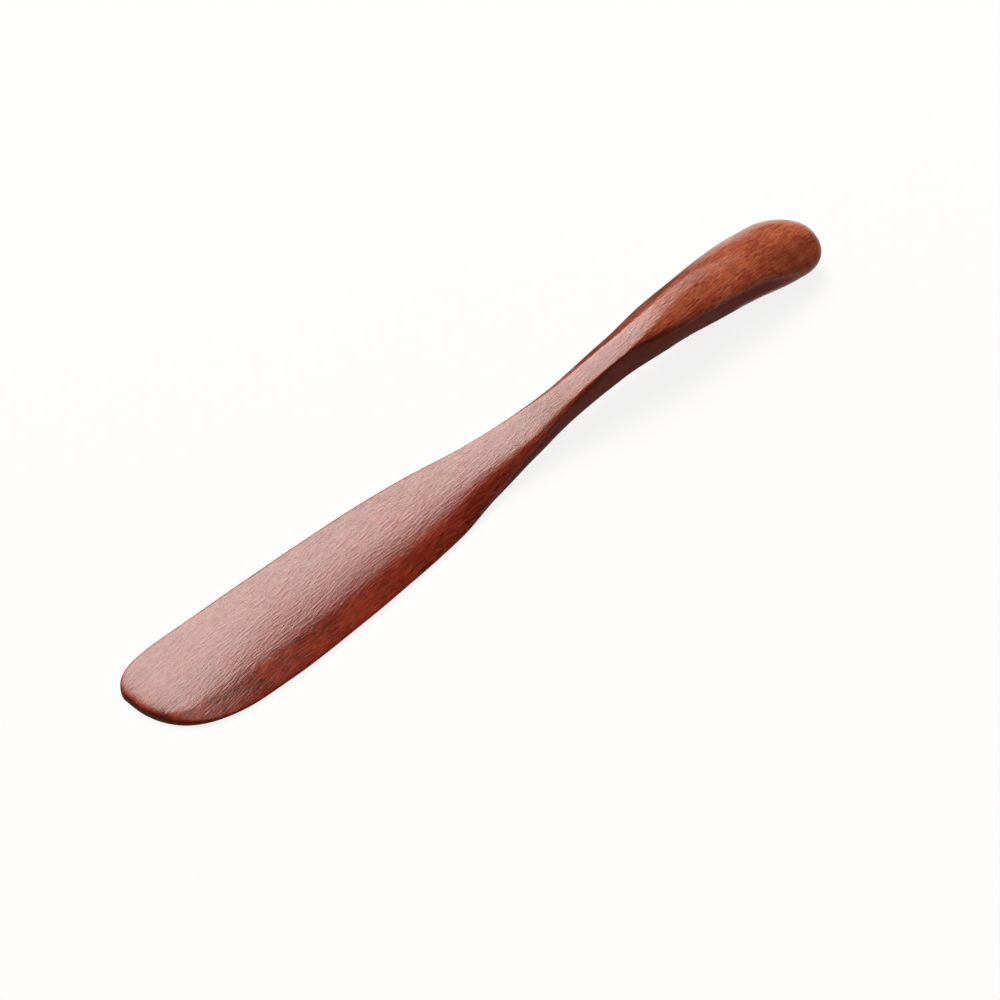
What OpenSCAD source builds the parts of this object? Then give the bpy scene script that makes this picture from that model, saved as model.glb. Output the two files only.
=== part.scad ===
// Butter knife carved from one piece of wood: a broad spreading blade, a slim faceted neck and a round handle.
// The blade's tip points to -X, the handle's end to +X, the blade's back to +Y and its spreading edge to -Y.
// The knife lies on its underside at Z = 0, and the origin is below the middle of its length and width.
// The eight long corners of the blank are run through hand-set stations from tip to handle's end,
// so the bevel of the blade, the top facet of the neck and the round of the handle are one unbroken surface.

/* [Knife] */

// Overall length, from the tip of the blade to the end of the handle
knife_length = 170; // [140:1:210]
// Depth planed off the underside of the blade and of the handle's end, which leaves the two flats it rests on
flat_depth = 0.35; // [0.2:0.05:0.5]

/* [Blade] */

// Greatest width of the blade, from its back to its spreading edge
blade_width = 21.6; // [17.5:0.1:26.5]
// Thickness of the blade along its back
blade_thickness = 3.4; // [2.8:0.1:4.4]
// Thickness left at the spreading edge, below the bevel
edge_thickness = 0.9; // [0.6:0.1:1.4]
// Width of the bevel that runs down to the spreading edge
bevel_width = 6.4; // [4:0.2:8]
// Fall of the top from the side of the back to its ridge, in degrees
top_fall = 1.5; // [0:0.5:3]
// Thickness at the very tip, before its edge is softened
tip_thickness = 0.9; // [0.7:0.1:1.3]
// Length over which the tip thins
tip_taper = 28; // [18:1:36]
// Length of the tip's round on the side of the back
tip_back_round = 14.4; // [10:0.2:20]
// Length of the tip's round on the side of the spreading edge
tip_edge_round = 18.4; // [12:0.2:24]
// Length of the softened corner at the tip's edge
tip_softening = 0.4; // [0.3:0.1:0.8]

/* [Neck] */

// Width of the neck at its slimmest
neck_width = 6.5; // [5.2:0.1:8.5]
// Thickness of the neck at its slimmest
neck_thickness = 5.3; // [4.3:0.1:7]
// Greatest height of the arch under the neck
neck_arch = 4.3; // [2.6:0.1:6]

/* [Handle] */

// Greatest width of the handle, near its end
handle_width = 15.9; // [12:0.2:19]
// Greatest thickness of the handle
handle_thickness = 9.1; // [7.5:0.1:11.5]
// Distance of the neck's middle line from the blade's middle line, towards the back
handle_offset = 0.9; // [0:0.1:1.6]
// Further distance that the handle's end sweeps towards the back
handle_sweep = 1.3; // [0.5:0.1:2]
// Length of the round at the handle's end, seen from above
end_round = 8.8; // [6:0.2:12]
// Length of the round at the handle's end, seen from the side
end_drop = 9.4; // [7:0.2:12]
// Height of the handle's end point above the table
end_height = 4.9; // [3.5:0.1:5.5]

/* [Hidden] */

// Stations of the blade, the neck and the handle, as shares of the knife's length
blade_station_shares = [0, 0.07, 0.15, 0.235, 0.32, 0.4, 0.47];
neck_station_shares = [0.54, 0.61, 0.68];
handle_station_shares = [0.75, 0.82, 0.88, 0.93, 1];
station_shares = concat(blade_station_shares, neck_station_shares, handle_station_shares);
stations = knife_length * station_shares;

// The blade's back and spreading edge at each station, as shares of its width
blade_back_shares = [0.58, 0.504, 0.49, 0.488, 0.472, 0.417, 0.32];
blade_edge_shares = [0.541, 0.494, 0.502, 0.471, 0.414, 0.339, 0.219];

// Widths of the neck and the handle at each station, as shares of the neck's and the handle's own width
neck_width_shares = [1.27, 0.965, 1];
handle_width_shares = [0.607, 0.73, 0.9, 1, 1.046];

// How much of the handle's sweep each station takes, the neck first swaying a little to the other side
neck_sweep_shares = [0.04, -0.15, 0.155];
handle_sweep_shares = [0.16, 0.77, 1.045, 1.07, 0.65];

// Heights of the arch's underside, as shares of the arch, and how much of the planed depth each station takes
blade_arch_shares = [0, 0, 0, 0, 0, 0, 0];
neck_arch_shares = [0.277, 0.665, 0.865];
handle_arch_shares = [1, 0.742, 0.315, 0.03, 0];
blade_planed_shares = [1, 1, 1, 1, 1, 1, 1];
neck_planed_shares = [0, 0, 0];
handle_planed_shares = [0, 0, 0, 0.9, 1];

// Thicknesses at each station, as shares of the blade's, the neck's and the handle's own thickness
blade_thick_shares = [0.94, 0.94, 0.96, 0.97, 1, 1.06, 1.22];
neck_thick_shares = [0.83, 1.023, 1.28];
handle_thick_shares = [0.795, 0.881, 1, 0.975, 0.84];

// Width and drop of the cut corner on top, on the side of the spreading edge
blade_bevel_shares = [0.5, 1, 1, 0.92, 0.77, 0.57, 0.37];
neck_edge_cut_shares = [0.248, 0.165, 0.08];
handle_edge_cut_shares = [0.212, 0.29, 0.25, 0.316, 0.306];
blade_bevel_drop_shares = [0.6, 0.95, 1, 1, 1, 0.95, 0.75];
neck_edge_drop_shares = [0.17, 0.13, 0.1];
handle_edge_drop_shares = [0.13, 0.192, 0.182, 0.322, 0.293];

// Width and drop of the cut corner on top, on the side of the back
blade_back_cut_shares = [0.02, 0.02, 0.02, 0.02, 0.02, 0.018, 0.015];
neck_back_cut_shares = [0.072, 0.17, 0.275];
handle_back_cut_shares = [0.167, 0.15, 0.25, 0.295, 0.286];
blade_back_drop_shares = [0.15, 0.15, 0.15, 0.15, 0.14, 0.12, 0.1];
neck_back_drop_shares = [0.057, 0.075, 0.183];
handle_back_drop_shares = [0.169, 0.255, 0.303, 0.303, 0.293];

// Width and rise of the cut corners below, the same on both sides
blade_under_cut_shares = [0.05, 0.05, 0.05, 0.05, 0.05, 0.05, 0.05];
neck_under_cut_shares = [0.13, 0.055, 0.045];
handle_under_cut_shares = [0.058, 0.032, 0.195, 0.308, 0.296];
blade_under_rise_shares = [0.2, 0.2, 0.2, 0.2, 0.2, 0.2, 0.27];
neck_under_rise_shares = [0.12, 0.4, 0.425];
handle_under_rise_shares = [0.382, 0.405, 0.33, 0.34, 0.323];

// Share of each flat beside a long corner that its softened arc takes: low is a crisp ridge, near half is round
top_soft_shares = [0.35, 0.35, 0.35, 0.35, 0.35, 0.34, 0.3, 0.24, 0.18, 0.15, 0.18, 0.36, 0.46, 0.48, 0.48];
under_soft_shares = [0.4, 0.4, 0.4, 0.4, 0.4, 0.4, 0.42, 0.45, 0.47, 0.48, 0.48, 0.48, 0.48, 0.48, 0.48];

// How full the rounds are seen from above: two is an ellipse, more is squarer
tip_fullness = 2.27;
end_fullness = 2.05;
// Where across the width the very tip lies, as a share of the blade's width
tip_point_share = 0.231;

// Cross-sections from tip to end, and points on each softened corner
section_count = 96;
arc_points = 5;

// The level of the tip's point, and how far the planed-off wood is drawn past the knife
tip_height = tip_thickness / 2;
plane_margin = handle_width;

// The runs of sizes at the stations
back_run = concat(
    blade_width * blade_back_shares,
    [for (k = [0:2]) handle_offset + handle_sweep * neck_sweep_shares[k] + neck_width * neck_width_shares[k] / 2],
    [for (k = [0:4]) handle_offset + handle_sweep * handle_sweep_shares[k] + handle_width * handle_width_shares[k] / 2]
);
edge_run = concat(
    -blade_width * blade_edge_shares,
    [for (k = [0:2]) handle_offset + handle_sweep * neck_sweep_shares[k] - neck_width * neck_width_shares[k] / 2],
    [for (k = [0:4]) handle_offset + handle_sweep * handle_sweep_shares[k] - handle_width * handle_width_shares[k] / 2]
);
arch_run = neck_arch * concat(blade_arch_shares, neck_arch_shares, handle_arch_shares);
under_run = arch_run - flat_depth * concat(blade_planed_shares, neck_planed_shares, handle_planed_shares);
thick_run = concat(
    blade_thickness * blade_thick_shares,
    neck_thickness * neck_thick_shares,
    handle_thickness * handle_thick_shares
);
top_run = arch_run + thick_run;
edge_cut_run = concat(
    bevel_width * blade_bevel_shares,
    neck_width * neck_edge_cut_shares,
    handle_width * handle_edge_cut_shares
);
edge_drop_run = concat(
    [for (k = [0:6]) (blade_thickness * blade_thick_shares[k] - edge_thickness) * blade_bevel_drop_shares[k]],
    neck_thickness * neck_edge_drop_shares,
    handle_thickness * handle_edge_drop_shares
);
back_cut_run = concat(
    blade_width * blade_back_cut_shares,
    neck_width * neck_back_cut_shares,
    handle_width * handle_back_cut_shares
);
back_drop_run = concat(
    blade_thickness * blade_back_drop_shares,
    neck_thickness * neck_back_drop_shares,
    handle_thickness * handle_back_drop_shares
);
under_cut_run = concat(
    blade_width * blade_under_cut_shares,
    neck_width * neck_under_cut_shares,
    handle_width * handle_under_cut_shares
);
under_rise_run = concat(
    blade_thickness * blade_under_rise_shares,
    neck_thickness * neck_under_rise_shares,
    handle_thickness * handle_under_rise_shares
);

// Slope of a run between station k and the next
function step_slope(run, k) = (run[k + 1] - run[k]) / (stations[k + 1] - stations[k]);

// Slope of a run at station k, level where the run turns, so that no curve swings past its stations
function station_slope(run, k) =
    let (
        before = step_slope(run, max(k - 1, 0)),
        after = step_slope(run, min(k, len(stations) - 2))
    )
    before * after <= 0 ? 0 : 2 * before * after / (before + after);

// The station that comes before a place along the knife
function station_before(x, k = 0) = k >= len(stations) - 2 || x < stations[k + 1] ? k : station_before(x, k + 1);

// A run's value at a place along the knife, on a smooth curve through the stations
function run_at(run, x) =
    let (
        k = station_before(x),
        span = stations[k + 1] - stations[k],
        t = (x - stations[k]) / span
    )
    run[k] * (1 + 2 * t) * (1 - t) * (1 - t)
    + station_slope(run, k) * span * t * (1 - t) * (1 - t)
    + run[k + 1] * t * t * (3 - 2 * t)
    + station_slope(run, k + 1) * span * t * t * (t - 1);

// Share of the full size that a rounded end has grown to, at a distance from its point
function swell(distance, reach, fullness) =
    distance >= reach ? 1 : pow(1 - pow(1 - distance / reach, fullness), 1 / fullness);

// A value pulled towards another by a share
function between(start, finish, share) = start + (finish - start) * share;

// The place of each cross-section along the knife, closer together towards both ends
function section_place(i) = knife_length * (1 - cos(180 * i / section_count)) / 2;

tip_point = blade_width * tip_point_share;
end_point = handle_offset + handle_sweep;

// The blade's back and edge, with both ends of the knife rounded off
function side_at(run, round_length, x) =
    let (
        tipped = between(tip_point, run_at(run, x), swell(x, round_length, tip_fullness))
    )
    between(end_point, tipped, swell(knife_length - x, end_round, end_fullness));

// A height, thinned towards the tip, softened at its edge and dropped to the handle's end
function height_at(height, x) =
    let (
        thinned = height * between(tip_thickness / blade_thickness, 1, swell(x, tip_taper, 2)),
        level = height > 0 ? thinned : height,
        softened = between(tip_height, level, swell(x, tip_softening, 2))
    )
    between(end_height, softened, swell(knife_length - x, end_drop, 2));

// The eight long corners of the blank at a place along the knife, as [y, z] and the share of softening
function corners_at(x) =
    let (
        back = side_at(back_run, tip_back_round, x),
        edge = side_at(edge_run, tip_edge_round, x),
        top = height_at(run_at(top_run, x), x),
        under = height_at(run_at(under_run, x), x),
        narrowed = (back - edge) / (run_at(back_run, x) - run_at(edge_run, x)),
        lowered = (top - under) / (run_at(top_run, x) - run_at(under_run, x)),
        edge_cut = narrowed * run_at(edge_cut_run, x),
        edge_drop = lowered * run_at(edge_drop_run, x),
        back_cut = narrowed * run_at(back_cut_run, x),
        back_drop = lowered * run_at(back_drop_run, x),
        under_cut = narrowed * run_at(under_cut_run, x),
        under_rise = lowered * run_at(under_rise_run, x),
        top_soft = run_at(top_soft_shares, x),
        under_soft = run_at(under_soft_shares, x),
        crest = back - back_cut,
        ridge = edge + edge_cut,
        fall = lowered * (crest - ridge) * tan(top_fall)
    )
    [
        [crest, top, top_soft],
        [ridge, top - fall, top_soft],
        [edge, top - edge_drop, under_soft],
        [edge, under + under_rise, under_soft],
        [edge + under_cut, under, under_soft],
        [back - under_cut, under, under_soft],
        [back, under + under_rise, under_soft],
        [back, top - back_drop, top_soft]
    ];

// One point on the softened arc of a corner, between the flats before and after it
function arc_point(before, corner, after, t) =
    let (
        start = between(corner, before, corner[2]),
        finish = between(corner, after, corner[2])
    )
    start * (1 - t) * (1 - t) + corner * 2 * t * (1 - t) + finish * t * t;

// The points of one cross-section
function section_points(x) =
    let (corners = corners_at(x))
    [
        for (j = [0:7])
            for (m = [0:arc_points - 1])
                let (p = arc_point(corners[(j + 7) % 8], corners[j], corners[(j + 1) % 8], m / (arc_points - 1)))
                [x - knife_length / 2, p[0], p[1]]
    ];

ring = 8 * arc_points;
rings = section_count - 1;

blank_points = concat(
    [for (i = [1:rings]) each section_points(section_place(i))],
    [[-knife_length / 2, tip_point, tip_height]],
    [[knife_length / 2, end_point, end_height]]
);

blank_faces = concat(
    [
        for (i = [0:rings - 2])
            for (j = [0:ring - 1])
                let (a = i * ring + j, b = i * ring + (j + 1) % ring)
                each [[a, b, b + ring], [a, b + ring, a + ring]]
    ],
    [for (j = [0:ring - 1]) [rings * ring, (j + 1) % ring, j]],
    [for (j = [0:ring - 1]) [rings * ring + 1, (rings - 1) * ring + j, (rings - 1) * ring + (j + 1) % ring]]
);

// The knife as it was carved, before its underside is planed
module carved_blank() {
    polyhedron(points = blank_points, faces = blank_faces, convexity = 4);
}

// The wood that the plane takes off below the table's level
module planed_off() {
    translate([-knife_length / 2 - plane_margin, -blade_width, -plane_margin])
        cube([knife_length + 2 * plane_margin, 2 * blade_width, plane_margin]);
}

// The whole knife in stained and lacquered wood: blade, neck and handle in one piece
module wooden_knife() {
    color([0.5, 0.2, 0.12])
        difference() {
            carved_blank();
            planed_off();
        }
}

wooden_knife();
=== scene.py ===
"""Butter knife carved from one piece of wood, stained red-brown and lacquered to a satin shine."""

from functools import partial
from math import cos, pi, radians, sin, tan

import bmesh
import bpy
from mathutils import Matrix, Vector, noise


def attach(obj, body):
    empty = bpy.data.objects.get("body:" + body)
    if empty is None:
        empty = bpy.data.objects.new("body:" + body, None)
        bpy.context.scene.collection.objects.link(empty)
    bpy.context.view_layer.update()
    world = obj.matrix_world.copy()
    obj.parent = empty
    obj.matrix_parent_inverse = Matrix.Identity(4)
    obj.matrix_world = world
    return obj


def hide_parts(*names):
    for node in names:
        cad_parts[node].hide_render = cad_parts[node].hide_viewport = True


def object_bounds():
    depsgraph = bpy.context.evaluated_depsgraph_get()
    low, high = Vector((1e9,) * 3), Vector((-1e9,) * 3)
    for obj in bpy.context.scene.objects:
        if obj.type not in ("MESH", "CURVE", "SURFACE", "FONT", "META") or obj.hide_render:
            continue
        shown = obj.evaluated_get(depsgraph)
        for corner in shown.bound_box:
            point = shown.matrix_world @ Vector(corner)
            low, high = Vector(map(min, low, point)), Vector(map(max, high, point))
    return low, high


bl_info = {
    "name": "Wooden Butter Knife",
    "version": (1, 0, 0),
    "blender": (4, 5, 0),
    "location": "3D View > Sidebar > Butter Knife",
    "description": "Carves a one-piece wooden butter knife, finishes its wood and lights it",
    "category": "Add Mesh",
}

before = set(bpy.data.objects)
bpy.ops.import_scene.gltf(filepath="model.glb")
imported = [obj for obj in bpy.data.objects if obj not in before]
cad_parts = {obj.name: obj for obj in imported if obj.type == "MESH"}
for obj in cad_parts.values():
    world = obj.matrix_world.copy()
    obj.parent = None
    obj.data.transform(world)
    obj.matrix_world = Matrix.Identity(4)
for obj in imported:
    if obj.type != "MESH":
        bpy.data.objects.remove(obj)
CAD_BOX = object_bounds()

MM = 0.001

# Stations of the blade (seven), the neck (three) and the handle (five), as shares of the knife's length
STATION_SHARES = (0, 0.07, 0.15, 0.235, 0.32, 0.4, 0.47, 0.54, 0.61, 0.68, 0.75, 0.82, 0.88, 0.93, 1)
BLADE, NECK, HANDLE = slice(0, 7), slice(7, 10), slice(10, 15)
NECK_STATIONS, HANDLE_STATIONS = 3, 5

# The blade's back and spreading edge, as shares of its width; then the width of the neck and the handle, and how far
# their middle sweeps to the side, as shares of their own sizes
BLADE_BACK_SHARES = (0.58, 0.504, 0.49, 0.488, 0.472, 0.417, 0.32)
BLADE_EDGE_SHARES = (0.541, 0.494, 0.502, 0.471, 0.414, 0.339, 0.219)
STEM_WIDTH_SHARES = (1.27, 0.965, 1, 0.607, 0.73, 0.9, 1, 1.046)
STEM_SWEEP_SHARES = (0.04, -0.15, 0.155, 0.16, 0.77, 1.045, 1.07, 0.65)

# Height of the arch under the knife, depth planed off below, and thickness, at every station
ARCH_SHARES = (0, 0, 0, 0, 0, 0, 0, 0.277, 0.665, 0.865, 1, 0.742, 0.315, 0.03, 0)
PLANED_SHARES = (1, 1, 1, 1, 1, 1, 1, 0, 0, 0, 0, 0, 0, 0.9, 1)
THICK_SHARES = (0.94, 0.94, 0.96, 0.97, 1, 1.06, 1.22, 0.83, 1.023, 1.28, 0.795, 0.881, 1, 0.975, 0.84)

# Width and drop of the cut corners: above on the spreading side, above on the back's side, and below on both sides
EDGE_CUT_SHARES = (0.5, 1, 1, 0.92, 0.77, 0.57, 0.37, 0.248, 0.165, 0.08, 0.212, 0.29, 0.25, 0.316, 0.306)
EDGE_DROP_SHARES = (0.6, 0.95, 1, 1, 1, 0.95, 0.75, 0.17, 0.13, 0.1, 0.13, 0.192, 0.182, 0.322, 0.293)
BACK_CUT_SHARES = (
    0.02, 0.02, 0.02, 0.02, 0.02, 0.018, 0.015, 0.072, 0.17, 0.275, 0.167, 0.15, 0.25, 0.295, 0.286)
BACK_DROP_SHARES = (
    0.15, 0.15, 0.15, 0.15, 0.14, 0.12, 0.1, 0.057, 0.075, 0.183, 0.169, 0.255, 0.303, 0.303, 0.293)
UNDER_CUT_SHARES = (
    0.05, 0.05, 0.05, 0.05, 0.05, 0.05, 0.05, 0.13, 0.055, 0.045, 0.058, 0.032, 0.195, 0.308, 0.296)
UNDER_RISE_SHARES = (0.2, 0.2, 0.2, 0.2, 0.2, 0.2, 0.27, 0.12, 0.4, 0.425, 0.382, 0.405, 0.33, 0.34, 0.323)

# Share of each flat beside a long corner that its softened arc takes: low is a crisp ridge, near half is round
TOP_SOFT_SHARES = (0.35, 0.35, 0.35, 0.35, 0.35, 0.34, 0.3, 0.24, 0.18, 0.15, 0.18, 0.36, 0.46, 0.48, 0.48)
UNDER_SOFT_SHARES = (0.4, 0.4, 0.4, 0.4, 0.4, 0.4, 0.42, 0.45, 0.47, 0.48, 0.48, 0.48, 0.48, 0.48, 0.48)

# How full the rounds are from above, and where across the blade's width its tip lies
TIP_FULLNESS = 2.27
END_FULLNESS = 2.05
TIP_POINT_SHARE = 0.231


def linear(hex_colour):
    """An sRGB hex colour as the linear RGBA that shaders take."""
    channels = [int(hex_colour[i : i + 2], 16) / 255 for i in (1, 3, 5)]
    return [c / 12.92 if c <= 0.04045 else ((c + 0.055) / 1.055) ** 2.4 for c in channels] + [1]


class KnifeShape(bpy.types.PropertyGroup):
    """Sizes of the carved knife, the same as the solid part's."""

    knife_length: bpy.props.FloatProperty(
        name="Length", description="From the blade's tip to the handle's end",
        default=170 * MM, unit="LENGTH")
    flat_depth: bpy.props.FloatProperty(
        name="Planed depth", description="Taken off below for the flats it rests on",
        default=0.35 * MM, unit="LENGTH")
    blade_width: bpy.props.FloatProperty(
        name="Blade width", description="From the back to the spreading edge",
        default=21.6 * MM, unit="LENGTH")
    blade_thickness: bpy.props.FloatProperty(
        name="Blade thickness", description="Along the flat of its top", default=3.4 * MM, unit="LENGTH")
    edge_thickness: bpy.props.FloatProperty(
        name="Edge thickness", description="Left at the spreading edge", default=0.9 * MM, unit="LENGTH")
    bevel_width: bpy.props.FloatProperty(
        name="Bevel width", description="Of the bevel down to the spreading edge",
        default=6.4 * MM, unit="LENGTH")
    tip_thickness: bpy.props.FloatProperty(
        name="Tip thickness", description="At the very tip", default=0.9 * MM, unit="LENGTH")
    tip_taper: bpy.props.FloatProperty(
        name="Tip taper", description="Length over which the tip thins", default=28 * MM, unit="LENGTH")
    tip_back_round: bpy.props.FloatProperty(
        name="Tip round, back", description="Length of the round on the back's side",
        default=14.4 * MM, unit="LENGTH")
    tip_edge_round: bpy.props.FloatProperty(
        name="Tip round, edge", description="Length of the round on the edge's side",
        default=18.4 * MM, unit="LENGTH")
    tip_softening: bpy.props.FloatProperty(
        name="Tip softening", description="Length of the softened corner at the tip",
        default=0.4 * MM, unit="LENGTH")
    neck_width: bpy.props.FloatProperty(
        name="Neck width", description="At its slimmest", default=6.5 * MM, unit="LENGTH")
    neck_thickness: bpy.props.FloatProperty(
        name="Neck thickness", description="At its slimmest", default=5.3 * MM, unit="LENGTH")
    neck_arch: bpy.props.FloatProperty(
        name="Neck arch", description="Greatest height under the neck", default=4.3 * MM, unit="LENGTH")
    handle_width: bpy.props.FloatProperty(
        name="Handle width", description="Near its end", default=15.9 * MM, unit="LENGTH")
    handle_thickness: bpy.props.FloatProperty(
        name="Handle thickness", description="Near its end", default=9.1 * MM, unit="LENGTH")
    handle_offset: bpy.props.FloatProperty(
        name="Handle offset", description="Of the neck from the blade's middle line",
        default=0.9 * MM, unit="LENGTH")
    handle_sweep: bpy.props.FloatProperty(
        name="Handle sweep", description="Of the handle's end towards the back",
        default=1.3 * MM, unit="LENGTH")
    end_round: bpy.props.FloatProperty(
        name="End round", description="Length of the handle's round from above",
        default=8.8 * MM, unit="LENGTH")
    end_drop: bpy.props.FloatProperty(
        name="End drop", description="Length of the handle's round from the side",
        default=9.4 * MM, unit="LENGTH")
    end_height: bpy.props.FloatProperty(
        name="End height", description="Of the handle's end point above the table",
        default=4.9 * MM, unit="LENGTH")
    top_fall: bpy.props.FloatProperty(
        name="Top fall", description="Slope of the top from its back to its ridge",
        default=radians(1.5), subtype="ANGLE")
    carving_depth: bpy.props.FloatProperty(
        name="Carving depth", description="Of the shallow unevenness left by hand work",
        default=0.045 * MM, unit="LENGTH")
    sections: bpy.props.IntProperty(
        name="Sections", description="Cross-sections from tip to end", default=260, min=40, max=600)


def colour_property(name, description, hex_colour):
    return bpy.props.FloatVectorProperty(
        name=name, description=description, default=linear(hex_colour), size=4, min=0, max=1, subtype="COLOR")


class KnifeFinish(bpy.types.PropertyGroup):
    """The stained and lacquered wood."""

    grain_tilt: bpy.props.FloatProperty(
        name="Grain tilt", description="Turn of the grain from the knife's length",
        default=radians(5), subtype="ANGLE")
    fibre_length: bpy.props.FloatProperty(
        name="Fibre length", description="Of one fine streak", default=3.2 * MM, unit="LENGTH")
    fibre_width: bpy.props.FloatProperty(
        name="Fibre width", description="Of one fine streak", default=0.22 * MM, unit="LENGTH")
    pore_length: bpy.props.FloatProperty(
        name="Pore length", description="Of one cut-open pore", default=1.8 * MM, unit="LENGTH")
    pore_width: bpy.props.FloatProperty(
        name="Pore width", description="Of one cut-open pore", default=0.22 * MM, unit="LENGTH")
    band_width: bpy.props.FloatProperty(
        name="Band width", description="Of one year's growth across the face",
        default=4.5 * MM, unit="LENGTH")
    blade_dark: colour_property("Blade dark", "Wood of the blade where the stain is thick", "#4a120a")
    blade_light: colour_property("Blade light", "Wood of the blade where the stain is thin", "#b04429")
    handle_dark: colour_property("Handle dark", "Wood of the handle where the stain is thick", "#6c2414")
    handle_light: colour_property("Handle light", "Wood of the handle where the stain is thin", "#cd6f48")
    warm_patch: colour_property("Warm patch", "Patches of the wood's own orange under the stain", "#9e4620")
    red_patch: colour_property("Red patch", "Patches where the red of the stain is strongest", "#8e2016")
    pore: colour_property("Pore", "Stain that has gathered in the open pores", "#38110b")
    # This colour is stain on end grain and painted shade on the steep sides, the neck's sloped faces, the bulb's near
    # side and the tip's rim
    soaked_and_shade: colour_property("Soaked", "Wood cut across its fibres, which drinks the stain", "#66281a")
    worn: colour_property("Worn", "Wood of the rubbed ridges", "#b8623c")


class KnifeStage(bpy.types.PropertyGroup):
    """The camera and the studio."""

    azimuth: bpy.props.FloatProperty(
        name="Azimuth", description="Of the camera around the knife",
        default=radians(-44.78), subtype="ANGLE")
    elevation: bpy.props.FloatProperty(
        name="Elevation", description="Of the camera above the table", default=radians(45), subtype="ANGLE")
    distance: bpy.props.FloatProperty(
        name="Distance", description="Of the camera from the knife", default=0.7, unit="LENGTH")
    lens: bpy.props.FloatProperty(
        name="Lens", description="Focal length on a 36 mm sensor", default=138.6, unit="CAMERA")
    key_power: bpy.props.FloatProperty(
        name="Key power", description="Of the softbox behind the knife, which gives the sheen",
        default=50, unit="POWER")
    top_power: bpy.props.FloatProperty(
        name="Top power", description="Of the softbox over the knife", default=7, unit="POWER")
    lamp_colour: colour_property("Lamp colour", "Of all the softboxes", "#fff8f0")
    paper: colour_property("Paper", "Colour of the background paper", "#ffffff")
    shadow_lift: bpy.props.FloatProperty(
        name="Shadow lift", description="Share of plain white in the background that is seen",
        default=0.86, min=0, max=1)


def along(run, stations, x):
    """A run's value at a place along the knife, on a smooth curve that never swings past its stations."""
    last = len(stations) - 1

    def slope(k):
        def step(i):
            return (run[i + 1] - run[i]) / (stations[i + 1] - stations[i])

        before, after = step(max(k - 1, 0)), step(min(k, last - 1))
        return 0 if before * after <= 0 else 2 * before * after / (before + after)

    k = next((i for i in range(last - 1) if x < stations[i + 1]), last - 1)
    span = stations[k + 1] - stations[k]
    t = (x - stations[k]) / span
    return (
        run[k] * (1 + 2 * t) * (1 - t) ** 2
        + slope(k) * span * t * (1 - t) ** 2
        + run[k + 1] * t * t * (3 - 2 * t)
        + slope(k + 1) * span * t * t * (t - 1)
    )


def swell(distance, reach, fullness):
    """Share of the full size that a rounded end has grown to, at a distance from its point."""
    return 1 if distance >= reach else (1 - (1 - distance / reach) ** fullness) ** (1 / fullness)


def between(a, b, share):
    return a + (b - a) * share


def sized(shares, blade, neck, handle):
    """Turns shares at the stations into sizes, each by the part of the knife that it belongs to."""
    return (
        [blade * s for s in shares[BLADE]]
        + [neck * s for s in shares[NECK]]
        + [handle * s for s in shares[HANDLE]]
    )


def knife_runs(s):
    """Every size that changes along the knife, at its stations."""
    stem_width = [s.neck_width] * NECK_STATIONS + [s.handle_width] * HANDLE_STATIONS
    middles = [s.handle_offset + s.handle_sweep * w for w in STEM_SWEEP_SHARES]
    halves = [w * share / 2 for w, share in zip(stem_width, STEM_WIDTH_SHARES)]
    widths = (s.blade_width, s.neck_width, s.handle_width)
    thicknesses = (s.blade_thickness, s.neck_thickness, s.handle_thickness)
    arch = [s.neck_arch * a for a in ARCH_SHARES]
    thick = sized(THICK_SHARES, *thicknesses)
    stem_thick = [s.neck_thickness] * NECK_STATIONS + [s.handle_thickness] * HANDLE_STATIONS
    drops = [t - s.edge_thickness for t in thick[BLADE]] + stem_thick
    return {
        "back": [s.blade_width * b for b in BLADE_BACK_SHARES] + [m + h for m, h in zip(middles, halves)],
        "edge": [-s.blade_width * e for e in BLADE_EDGE_SHARES] + [m - h for m, h in zip(middles, halves)],
        "under": [a - s.flat_depth * p for a, p in zip(arch, PLANED_SHARES)],
        "top": [a + t for a, t in zip(arch, thick)],
        "edge_cut": sized(EDGE_CUT_SHARES, s.bevel_width, s.neck_width, s.handle_width),
        "edge_drop": [d * share for d, share in zip(drops, EDGE_DROP_SHARES)],
        "back_cut": sized(BACK_CUT_SHARES, *widths),
        "back_drop": sized(BACK_DROP_SHARES, *thicknesses),
        "under_cut": sized(UNDER_CUT_SHARES, *widths),
        "under_rise": sized(UNDER_RISE_SHARES, *thicknesses),
        "top_soft": TOP_SOFT_SHARES,
        "under_soft": UNDER_SOFT_SHARES,
    }


def long_corners(s, runs, stations, x):
    """The eight long corners of the blank at a place along the knife, as (y, z, softness)."""
    at = {name: along(run, stations, x) for name, run in runs.items()}
    left = s.knife_length - x

    def side(value, round_length):
        tipped = between(s.blade_width * TIP_POINT_SHARE, value, swell(x, round_length, TIP_FULLNESS))
        return between(s.handle_offset + s.handle_sweep, tipped, swell(left, s.end_round, END_FULLNESS))

    def height(value):
        if x < s.tip_taper and value > 0:
            value *= between(s.tip_thickness / s.blade_thickness, 1, swell(x, s.tip_taper, 2))
        softened = between(s.tip_thickness / 2, value, swell(x, s.tip_softening, 2))
        return between(s.end_height, softened, swell(left, s.end_drop, 2))

    back, edge = side(at["back"], s.tip_back_round), side(at["edge"], s.tip_edge_round)
    top, under = height(at["top"]), height(at["under"])
    narrowed = (back - edge) / (at["back"] - at["edge"])
    lowered = (top - under) / (at["top"] - at["under"])
    ts, us = at["top_soft"], at["under_soft"]
    rise = under + lowered * at["under_rise"]
    crest, ridge = back - narrowed * at["back_cut"], edge + narrowed * at["edge_cut"]
    return (
        (crest, top, ts),
        (ridge, top - lowered * (crest - ridge) * tan(s.top_fall), ts),
        (edge, top - lowered * at["edge_drop"], us),
        (edge, rise, us),
        (edge + narrowed * at["under_cut"], under, us),
        (back - narrowed * at["under_cut"], under, us),
        (back, rise, us),
        (back, top - lowered * at["back_drop"], ts),
    )


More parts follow.
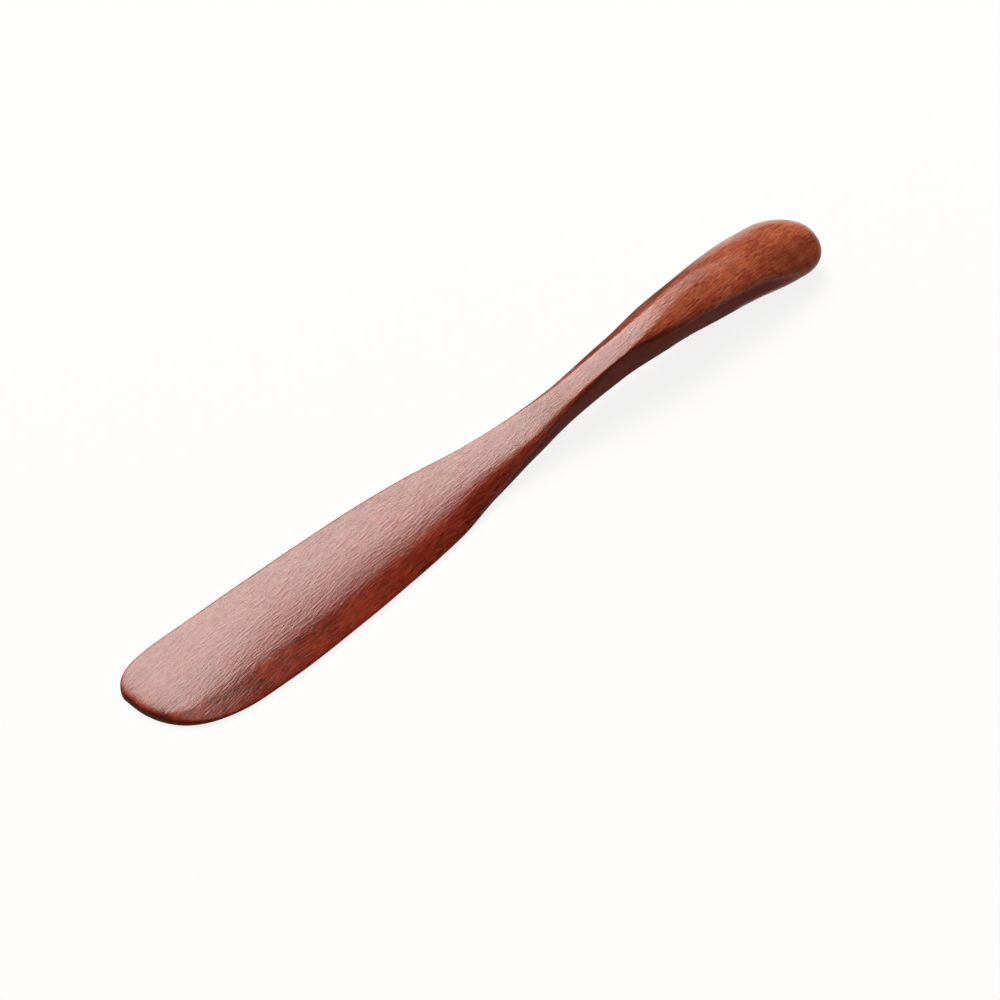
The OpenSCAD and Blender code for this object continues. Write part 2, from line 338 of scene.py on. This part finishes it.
# Steps on each corner's arc, and on the flat after it
ARC_STEPS = 8
FLAT_STEPS = 5

# Height of the top's swelling, as a share of the fall between its two ridges
CROWN_SHARE = 1 / 3

# Softness from which a corner counts as round, and how much less than that makes it a crisp ridge
ROUND_SOFTNESS = 0.34
CRISP_SPAN = 0.16


def ring_points(corners):
    """The points around one cross-section, each with how near it is to the crest of a crisp ridge.

    The top swells a little between its two long ridges, level at the back and steepest at the edge's side.
    """
    points = []
    arcs = []
    crest, ridge, edge = corners[:3]
    crown = (crest[1] - ridge[1]) * CROWN_SHARE

    def crowned(p):
        across = (crest[0] - p.x) / max(crest[0] - ridge[0], 0.001 * MM)
        if 0 < across < 1 and p.y > edge[1]:
            p.y += crown * (4 * across * (1 - across)) ** 2
        return p

    for j, corner in enumerate(corners):
        middle = Vector(corner[:2])
        start = middle.lerp(Vector(corners[j - 1][:2]), corner[2])
        finish = middle.lerp(Vector(corners[(j + 1) % len(corners)][:2]), corner[2])
        arcs.append((start, middle, finish, corner[2]))
    for j, (start, middle, finish, soft) in enumerate(arcs):
        crisp = min(max((ROUND_SOFTNESS - soft) / CRISP_SPAN, 0), 1)
        for m in range(ARC_STEPS + 1):
            t = m / ARC_STEPS
            p = start * (1 - t) ** 2 + middle * 2 * t * (1 - t) + finish * t * t
            points.append((crowned(p), crisp * 4 * t * (1 - t)))
        for m in range(1, FLAT_STEPS):
            points.append((crowned(finish.lerp(arcs[(j + 1) % len(arcs)][0], m / FLAT_STEPS)), 0))
    return points


# Length and width of the slow hollows and of the shorter tool marks, the marks' depth as a share of the hollows',
# and how far the two patterns are moved apart
HOLLOW_LENGTH, HOLLOW_WIDTH = 19 * MM, 8 * MM
MARK_LENGTH, MARK_WIDTH = 7 * MM, 4.2 * MM
MARK_SHARE = 0.35
MARK_SHIFT = 5


def hand_work(point, depth):
    """Shallow hollows and swellings that the knife, the scraper and the sandpaper leave."""
    x, y, z = point
    hollows = noise.noise(Vector((x / HOLLOW_LENGTH, y / HOLLOW_WIDTH, z / HOLLOW_WIDTH)))
    marks = noise.noise(Vector((x / MARK_LENGTH + MARK_SHIFT, y / MARK_WIDTH, z / MARK_WIDTH)))
    return depth * (hollows + MARK_SHARE * marks)


def eased(value, low, high):
    """Rises from nought to one between two values."""
    t = min(max((value - low) / (high - low), 0), 1)
    return t * t * (3 - 2 * t)


# End grain at both ends, and painted shade on the steep sides, the neck's sloped faces, the bulb's near side and the
# tip's rim. Each pair says where an effect starts and where it is full. Places are measured along the knife from its
# middle, and a slant is nought on level wood and one on upright wood.
END_FACING, END_SHARE = (0.55, 1), 0.5
STEEP_SLANT = (0.35, 0.8)
STEEP_STOP_BACK, STEEP_STOP_EDGE = (52 * MM, 71 * MM), (66 * MM, 85 * MM)
NECK_START, NECK_SLANT = (6 * MM, 22 * MM), (0.05, 0.18)
NECK_STOP_BACK, NECK_STOP_EDGE = (50 * MM, 68 * MM), (36 * MM, 54 * MM)
BULB_START, BULB_FACING, BULB_SHARE = (56 * MM, 76 * MM), (0.02, 0.4), 0.55
TIP_START, TIP_SLANT = (70 * MM, 78 * MM), (0.06, 0.3)

# Slant at which the top turns from planed to cut, and the place where the whole surface does
CUT_SLANT = (0.004, 0.03)
CUT_START = (30 * MM, 50 * MM)


def short_grain(place, normal):
    """End grain at both ends, and painted shade on steep sides, the neck's cut faces, the bulb's near side and the
    tip's rim.
    """
    slant = 1 - abs(normal.z)
    steep_stop, neck_stop = (
        (STEEP_STOP_BACK, NECK_STOP_BACK) if normal.y > 0 else (STEEP_STOP_EDGE, NECK_STOP_EDGE)
    )
    ends = END_SHARE * eased(abs(normal.x), *END_FACING)
    # Painted shade: the steep sides, the neck's sloped faces, the bulb's near side and the tip's rim are darkened as
    # shade
    steep = eased(slant, *STEEP_SLANT) * (1 - eased(place.x, *steep_stop))
    neck = eased(slant, *NECK_SLANT) * eased(place.x, *NECK_START) * (1 - eased(place.x, *neck_stop))
    bulb = BULB_SHARE * eased(place.x, *BULB_START) * eased(-normal.y, *BULB_FACING)
    tip = eased(-place.x, *TIP_START) * eased(slant, *TIP_SLANT)
    return max(ends, steep, neck, bulb, tip)


def carved(place, normal):
    """How far the surface is a cut face: nought on the blade's level top, one on its bevel and on the handle."""
    return max(eased(1 - normal.z, *CUT_SLANT), eased(place.x, *CUT_START))


def carve_knife(s):
    """One closed mesh from tip to end, with weights for ridge, end grain with painted shade, and cut face at every
    point.
    """
    stations = [s.knife_length * share for share in STATION_SHARES]
    runs = knife_runs(s)
    bm = bmesh.new()
    ridge_layer = bm.verts.layers.float.new("ridge")
    rings = []
    for i in range(1, s.sections):
        x = s.knife_length * (1 - cos(pi * i / s.sections)) / 2
        ring = []
        for p, ridge in ring_points(long_corners(s, runs, stations, x)):
            vert = bm.verts.new((x - s.knife_length / 2, p.x, p.y))
            vert[ridge_layer] = ridge
            ring.append(vert)
        rings.append(ring)
    tip = bm.verts.new((-s.knife_length / 2, s.blade_width * TIP_POINT_SHARE, s.tip_thickness / 2))
    end = bm.verts.new((s.knife_length / 2, s.handle_offset + s.handle_sweep, s.end_height))
    count = len(rings[0])
    for a, b in zip(rings, rings[1:]):
        for j in range(count):
            n = (j + 1) % count
            bm.faces.new((a[j], a[n], b[n], b[j]))
    for j in range(count):
        n = (j + 1) % count
        bm.faces.new((tip, rings[0][n], rings[0][j]))
        bm.faces.new((end, rings[-1][j], rings[-1][n]))
    bmesh.ops.recalc_face_normals(bm, faces=bm.faces)
    bm.normal_update()
    grain_and_shade_layer = bm.verts.layers.float.new("short_grain")
    carved_layer = bm.verts.layers.float.new("carved")
    low, high = [Vector(corner) for corner in CAD_BOX]
    for vert in bm.verts:
        vert[grain_and_shade_layer] = short_grain(vert.co, vert.normal)
        vert[carved_layer] = carved(vert.co, vert.normal)
        vert.co += vert.normal * hand_work(vert.co, s.carving_depth)
        vert.co.x = min(max(vert.co.x, low.x), high.x)
        vert.co.y = min(max(vert.co.y, low.y), high.y)
        vert.co.z = min(max(vert.co.z, 0), high.z)
    for face in bm.faces:
        face.smooth = True
    mesh = bpy.data.meshes.new("carved_knife")
    bm.to_mesh(mesh)
    bm.free()
    knife = bpy.data.objects.new("carved_knife", mesh)
    bpy.context.scene.collection.objects.link(knife)
    return knife


def add_node(tree, kind, settings=None, **links):
    """Adds one node; settings go on the node or its sockets, and links give the sockets that feed it."""
    node = tree.nodes.new("ShaderNode" + kind)
    for key, value in (settings or {}).items():
        if isinstance(key, int) or key in node.inputs:
            node.inputs[key].default_value = value
        elif key == "stops":
            ramp = node.color_ramp.elements
            while len(ramp) < len(value):
                ramp.new(0.5)
            for element, (place, colour) in zip(ramp, value):
                element.position = place
                element.color = colour
        else:
            setattr(node, key, value)
    for key, source in links.items():
        socket = node.inputs[int(key[1:])] if key[0] == "_" else node.inputs[key.replace("_", " ")]
        tree.links.new(source, socket)
    return node


def grain_scale(length, width):
    """Turns one streak's real length and width into the scale of a pattern with features of one unit.

    The blank was split so that its fibres follow the arch, so the pattern changes slower with height.
    """
    return (1 / length, 1 / width, 1 / (4 * width))


def new_material(name):
    material = bpy.data.materials.new(name)
    material.use_nodes = True
    material.node_tree.nodes.clear()
    return material


# Features to the metre of the patterns that are alike every way: the fibres sway over 18 mm, by up to 1.6 mm to a
# side, the wood takes the stain in blotches of 9 mm, and the brushed lacquer stands uneven over 4 mm
SWAYS, BLOTCHES, LACQUER_WAVES = 55, 110, 260
SWAY_WIDTH = 1.6 * MM

# Length and width of the patches under the stain, and of the ripple that scraping left between soft and hard wood.
# The real ripple is finer; it is drawn a third of a millimetre wide, so that it shows in the shine
BAND_LENGTH = 70 * MM
WARM_STREAK = (2.4 * MM, 0.9 * MM)
RED_STREAK = (2.8 * MM, 1 * MM)
RIPPLE_STREAK = (2.2 * MM, 0.36 * MM)

# Flecks are shorter and wider than fibres, by these shares
FLECK_LENGTH_SHARE, FLECK_WIDTH_SHARE = 0.6, 1.4

# Depth of the relief
FIBRE_DEPTH, PORE_DEPTH, LACQUER_DEPTH, RIPPLE_DEPTH = 0.02 * MM, 0.03 * MM, 0.02 * MM, 0.06 * MM

# Where the wood begins to turn lighter and more orange towards the handle's end, and where it is fully so
HANDLE_TONE_START, HANDLE_TONE_FULL = 28 * MM, 50 * MM


def stained_wood(f):
    """Fine-grained hardwood, red-brown stain, sealed and brushed with satin lacquer.

    The stain sinks into open pores, so they read as small dark dashes, and lies thin on the ridges,
    which rub paler. End grain drinks the stain; steep and turned-away faces get the same dark colour as painted
    shade.
    The lacquer levels most of the grain, so the fibres only ripple its shine.
    """
    material = new_material("stained_lacquered_wood")
    node = partial(add_node, material.node_tree)
    place = node("TexCoord").outputs["Object"]
    turned = node("Mapping", {"Rotation": (0, 0, -f.grain_tilt)}, Vector=place).outputs["Vector"]

    # Slow sway, so that the fibres run in easy curves and not in ruled lines
    sway = node("TexNoise", {"Scale": SWAYS, "Detail": 1}, Vector=turned).outputs["Color"]
    reach, middle = (0, SWAY_WIDTH, SWAY_WIDTH), (0, -SWAY_WIDTH / 2, -SWAY_WIDTH / 2)
    swayed = node("VectorMath", {"operation": "MULTIPLY_ADD", 1: reach, 2: middle}, _0=sway).outputs["Vector"]
    grain = node("VectorMath", {"operation": "ADD"}, _0=turned, _1=swayed).outputs["Vector"]

    def streaks(length, width, detail, rough):
        """A pattern of streaks of a real length and width, drawn out along the grain."""
        scaled = node("Mapping", {"Scale": grain_scale(length, width)}, Vector=grain).outputs["Vector"]
        return node("TexNoise", {"Scale": 1, "Detail": detail, "Roughness": rough}, Vector=scaled).outputs["Fac"]

    # How much stain the wood took, from the coarse pattern to the fine one. Real fibres and pores are about a tenth
    # as wide; they are drawn a little wider than one dot of the picture, so that they show
    fibre = streaks(f.fibre_length, f.fibre_width, detail=4, rough=0.65)
    fleck = streaks(f.fibre_length * FLECK_LENGTH_SHARE, f.fibre_width * FLECK_WIDTH_SHARE, detail=3, rough=0.6)
    band = streaks(BAND_LENGTH, f.band_width, detail=2, rough=0.5)
    blotch = node("TexNoise", {"Scale": BLOTCHES, "Detail": 3}, Vector=place).outputs["Fac"]
    fine = node("Mix", {"data_type": "FLOAT", "Factor": 0.5}, _2=fibre, _3=fleck).outputs[0]
    coarse = node("Mix", {"data_type": "FLOAT", "Factor": 0.5}, _2=band, _3=blotch).outputs[0]
    patchy = node("Mix", {"data_type": "FLOAT", "Factor": 0.7}, _2=coarse, _3=fine).outputs[0]

    # The level top was planed and took the stain evenly; the cut faces took it patchily
    cut_face = node("Attribute", {"attribute_name": "carved"}).outputs["Fac"]
    even = node("MapRange", {"To Min": 0.38, "To Max": 0.62}, Value=patchy).outputs["Result"]
    uptake = node("Mix", {"data_type": "FLOAT"}, _0=cut_face, _2=even, _3=patchy).outputs[0]

    # Towards the handle's end the wood turns lighter and more orange
    along_knife = node("SeparateXYZ", Vector=place).outputs["X"]
    handle_tone_ramp = {"interpolation_type": "SMOOTHSTEP", "From Min": HANDLE_TONE_START, "From Max": HANDLE_TONE_FULL}
    handle_tone = node("MapRange", handle_tone_ramp, Value=along_knife).outputs["Result"]
    blade, handle = [
        node("ValToRGB", {"stops": ((0.4, dark), (0.6, light))}, Fac=uptake).outputs["Color"]
        for dark, light in ((f.blade_dark, f.blade_light), (f.handle_dark, f.handle_light))
    ]
    wood = node("Mix", {"data_type": "RGBA"}, _0=handle_tone, _6=blade, _7=handle).outputs[2]

    # On the cut faces the wood's own orange and the red of the stain come out in patches
    for size, strength, colour in (
        (WARM_STREAK, {"From Min": 0.5, "From Max": 0.66, "To Max": 0.24}, f.warm_patch),
        (RED_STREAK, {"From Min": 0.36, "From Max": 0.52, "To Min": 0.4, "To Max": 0}, f.red_patch),
    ):
        patch = streaks(*size, detail=2, rough=0.5)
        share = node("MapRange", strength, Value=patch).outputs["Result"]
        share = node("Math", {"operation": "MULTIPLY"}, _0=share, _1=cut_face).outputs[0]
        wood = node("Mix", {"data_type": "RGBA", 7: colour}, _0=share, _6=wood).outputs[2]

    # Open pores hold the most stain, end grain drinks it, steep and turned-away faces get the same dark colour as
    # painted shade, and the ridges rub pale
    pore = streaks(f.pore_length, f.pore_width, detail=1, rough=0.5)
    pores = node("MapRange", {"From Min": 0.6, "From Max": 0.7, "To Max": 0.4}, Value=pore).outputs["Result"]
    end_grain_and_shade = node("Attribute", {"attribute_name": "short_grain"}).outputs["Fac"]
    ridge = node("Attribute", {"attribute_name": "ridge"}).outputs["Fac"]
    rubbed = node("MapRange", {"To Max": 0.2}, Value=ridge).outputs["Result"]
    for share, colour in ((pores, f.pore), (end_grain_and_shade, f.soaked_and_shade), (rubbed, f.worn)):
        wood = node("Mix", {"data_type": "RGBA", 7: colour}, _0=share, _6=wood).outputs[2]

    # The lacquer follows its own brush marks, the ripple and the fibres; the wood under it has its pores as well
    lacquer = node("TexNoise", {"Scale": LACQUER_WAVES, "Detail": 1}, Vector=place).outputs["Fac"]
    ripple = streaks(*RIPPLE_STREAK, detail=2, rough=0.6)
    brushed = node("Bump", {"Strength": 1, "Distance": LACQUER_DEPTH}, Height=lacquer).outputs["Normal"]
    scraped = node("Bump", {"Strength": 1, "Distance": RIPPLE_DEPTH}, Height=ripple, Normal=brushed).outputs["Normal"]
    skin = node("Bump", {"Strength": 1, "Distance": FIBRE_DEPTH}, Height=fine, Normal=scraped).outputs["Normal"]
    pitting = {"Strength": 1, "Distance": PORE_DEPTH, "invert": True}
    pitted = node("Bump", pitting, Height=pores, Normal=skin).outputs["Normal"]

    # The lacquer sinks in over soft wood, so the shine is broken into the same streaks, and it dulls over end grain
    # and over the faces with painted shade
    breaking = {"From Min": 0.35, "From Max": 0.65, "To Min": 0.76}
    unbroken = node("MapRange", breaking, Value=ripple).outputs["Result"]
    glossy = node("MapRange", {"To Min": 1, "To Max": 0.16}, Value=end_grain_and_shade).outputs["Result"]
    shine = node("Math", {"operation": "MULTIPLY"}, _0=glossy, _1=unbroken).outputs[0]

    # All the shine is the satin lacquer's: the wood under it is matt
    matt = {"From Min": 0.3, "From Max": 0.7, "To Min": 0.3, "To Max": 0.42}
    roughness = node("MapRange", matt, Value=fine).outputs["Result"]
    shader = node(
        "BsdfPrincipled",
        {"IOR": 1.5, "Specular IOR Level": 0, "Coat Roughness": 0.21, "Coat IOR": 1.53},
        Base_Color=wood,
        Roughness=roughness,
        Normal=pitted,
        Coat_Weight=shine,
        Coat_Normal=skin,
    ).outputs["BSDF"]
    node("OutputMaterial", Surface=shader)
    return material


# Clumps of paper fibre to the metre, about one to a millimetre
PAPER_CLUMPS = 900


def floor_paper(s):
    """Matt white background paper, whose fibres only just break its evenness.

    What the camera, the shine and clear things see of it is part plain white, so the shadow on it is pale.
    """
    material = new_material("white_background_paper")
    node = partial(add_node, material.node_tree)
    place = node("TexCoord").outputs["Object"]
    fibres = node("TexNoise", {"Scale": PAPER_CLUMPS, "Detail": 2}, Vector=place).outputs["Fac"]
    faint = node("MapRange", {"To Min": 0.97}, Value=fibres).outputs["Result"]
    paper = node("VectorMath", {"operation": "SCALE", 0: s.paper[:3]}, Scale=faint).outputs["Vector"]
    lit = node("BsdfDiffuse", Color=paper).outputs[0]
    white = node("Emission", {"Color": s.paper, "Strength": 1}).outputs[0]
    rays = node("LightPath").outputs
    seen = rays["Is Camera Ray"]
    for other in ("Is Glossy Ray", "Is Transmission Ray"):
        seen = node("Math", {"operation": "MAXIMUM"}, _0=seen, _1=rays[other]).outputs[0]
    share = node("Math", {"operation": "MULTIPLY", 1: s.shadow_lift}, _0=seen).outputs[0]
    both = node("MixShader", _0=share, _1=lit, _2=white).outputs[0]
    node("OutputMaterial", Surface=both)
    return material


def studio_world():
    """A dim studio: grey walls low down and a darker ceiling."""
    world = bpy.data.worlds.new("studio")
    world.use_nodes = True
    world.node_tree.nodes.clear()
    node = partial(add_node, world.node_tree)
    direction = node("TexCoord").outputs["Generated"]
    height = node("SeparateXYZ", Vector=direction).outputs["Z"]
    walls_to_ceiling = {"stops": ((0, linear("#808080")), (0.3, linear("#484848")))}
    room = node("ValToRGB", walls_to_ceiling, Fac=height).outputs["Color"]
    light = node("Background", {"Strength": 1}, Color=room).outputs[0]
    node("OutputWorld", Surface=light)
    bpy.context.scene.world = world


def aimed(place, target):
    """A transform at a place that looks down its own -Z at a target."""
    place, target = Vector(place), Vector(target)
    return Matrix.Translation(place) @ (target - place).to_track_quat("-Z", "Y").to_matrix().to_4x4()


# How far right of and above the knife's middle the camera aims: it aims lower, so the knife stands a little high
AIM_RIGHT, AIM_UP = -0.12 * MM, -5.14 * MM

# The paper lies just under the knife, level for two metres, and then curves up
PAPER_HALF, PAPER_SQUARES = 3, 24
PAPER_DROP = 0.04 * MM
LEVEL_REACH, UPWARD_CURVE = 2, 0.02

# The key softbox hangs behind the knife, turned to lie along it, where the blade's top mirrors it to the camera
KEY_AIM = {"turn": radians(-19.9), "rise": radians(50.2), "roll": radians(-23)}
TOP_AIM = {"turn": 0, "rise": radians(87), "roll": 0}
SURROUND_SHARE = 0.55


def build_stage(s):
    """Camera, softboxes, floor and world."""
    scene = bpy.context.scene
    right = Vector((cos(s.azimuth), sin(s.azimuth), 0))
    away = Vector((-sin(s.azimuth), cos(s.azimuth), 0))
    back = -away * cos(s.elevation) + Vector((0, 0, sin(s.elevation)))
    up = back.cross(right)

    aim = right * AIM_RIGHT + up * AIM_UP
    camera = bpy.data.objects.new("photo_camera", bpy.data.cameras.new("photo_camera"))
    camera.data.sensor_width = 36
    camera.data.lens = s.lens
    camera.data.clip_start = 0.05
    camera.data.clip_end = 20
    camera.matrix_world = aimed(back * s.distance, aim)
    scene.collection.objects.link(camera)
    scene.camera = camera

    def softbox(name, power, distance, width, height, turn, rise, roll):
        level = right * sin(turn) + away * cos(turn)
        place = level * cos(rise) * distance + Vector((0, 0, sin(rise) * distance))
        lamp = bpy.data.lights.new(name, "AREA")
        lamp.shape = "RECTANGLE"
        lamp.size = width
        lamp.size_y = height
        lamp.energy = power
        lamp.color = s.lamp_colour[:3]
        light = bpy.data.objects.new(name, lamp)
        light.matrix_world = aimed(place, (0, 0, 0)) @ Matrix.Rotation(roll, 4, "Z")
        scene.collection.objects.link(light)

    # The key's diffuser is bright in the middle and fades outwards, so a wider, dimmer face lies round it
    softbox("key_softbox", s.key_power, distance=2.5, width=1.29, height=1.67, **KEY_AIM)
    softbox("key_surround", s.key_power * SURROUND_SHARE, distance=2.55, width=1.86, height=2.16, **KEY_AIM)
    softbox("top_softbox", s.top_power, distance=2.5, width=1.2, height=1.2, **TOP_AIM)

    bm = bmesh.new()
    bmesh.ops.create_grid(bm, x_segments=PAPER_SQUARES, y_segments=PAPER_SQUARES, size=PAPER_HALF)
    for vert in bm.verts:
        beyond = max(vert.co.length - LEVEL_REACH, 0)
        vert.co.z = -PAPER_DROP + beyond * beyond * UPWARD_CURVE
    mesh = bpy.data.meshes.new("paper_floor")
    bm.to_mesh(mesh)
    bm.free()
    floor = bpy.data.objects.new("paper_floor", mesh)
    floor.data.materials.append(floor_paper(s))
    scene.collection.objects.link(floor)
    studio_world()
    scene.view_settings.view_transform = "Standard"


class KNIFE_OT_carve(bpy.types.Operator):
    """Carve the knife: blade, neck and handle in one piece"""

    bl_idname = "knife.carve"
    bl_label = "Carve Knife"

    def execute(self, context):
        knife = carve_knife(context.scene.knife_shape)
        knife.data.materials.append(stained_wood(context.scene.knife_finish))
        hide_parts("wooden_knife")
        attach(knife, "root")
        return {"FINISHED"}


class KNIFE_OT_stage(bpy.types.Operator):
    """Set the floor, the softboxes and the camera"""

    bl_idname = "knife.stage"
    bl_label = "Set Stage"

    def execute(self, context):
        build_stage(context.scene.knife_stage)
        return {"FINISHED"}


class KNIFE_PT_panel(bpy.types.Panel):
    """Sizes, finish and stage of the knife"""

    bl_idname = "KNIFE_PT_panel"
    bl_label = "Butter Knife"
    bl_space_type = "VIEW_3D"
    bl_region_type = "UI"
    bl_category = "Butter Knife"

    def draw(self, context):
        layout = self.layout
        for group in (context.scene.knife_shape, context.scene.knife_finish, context.scene.knife_stage):
            box = layout.box()
            for name in group.bl_rna.properties.keys():
                if name not in ("rna_type", "name"):
                    box.prop(group, name)
        layout.operator("knife.carve")
        layout.operator("knife.stage")


CLASSES = (KnifeShape, KnifeFinish, KnifeStage, KNIFE_OT_carve, KNIFE_OT_stage, KNIFE_PT_panel)


def register():
    for cls in CLASSES:
        bpy.utils.register_class(cls)
    bpy.types.Scene.knife_shape = bpy.props.PointerProperty(type=KnifeShape)
    bpy.types.Scene.knife_finish = bpy.props.PointerProperty(type=KnifeFinish)
    bpy.types.Scene.knife_stage = bpy.props.PointerProperty(type=KnifeStage)


def unregister():
    del bpy.types.Scene.knife_stage
    del bpy.types.Scene.knife_finish
    del bpy.types.Scene.knife_shape
    for cls in reversed(CLASSES):
        bpy.utils.unregister_class(cls)


def main():
    register()
    bpy.ops.knife.carve()
    bpy.ops.knife.stage()


if __name__ == "__main__":
    main()
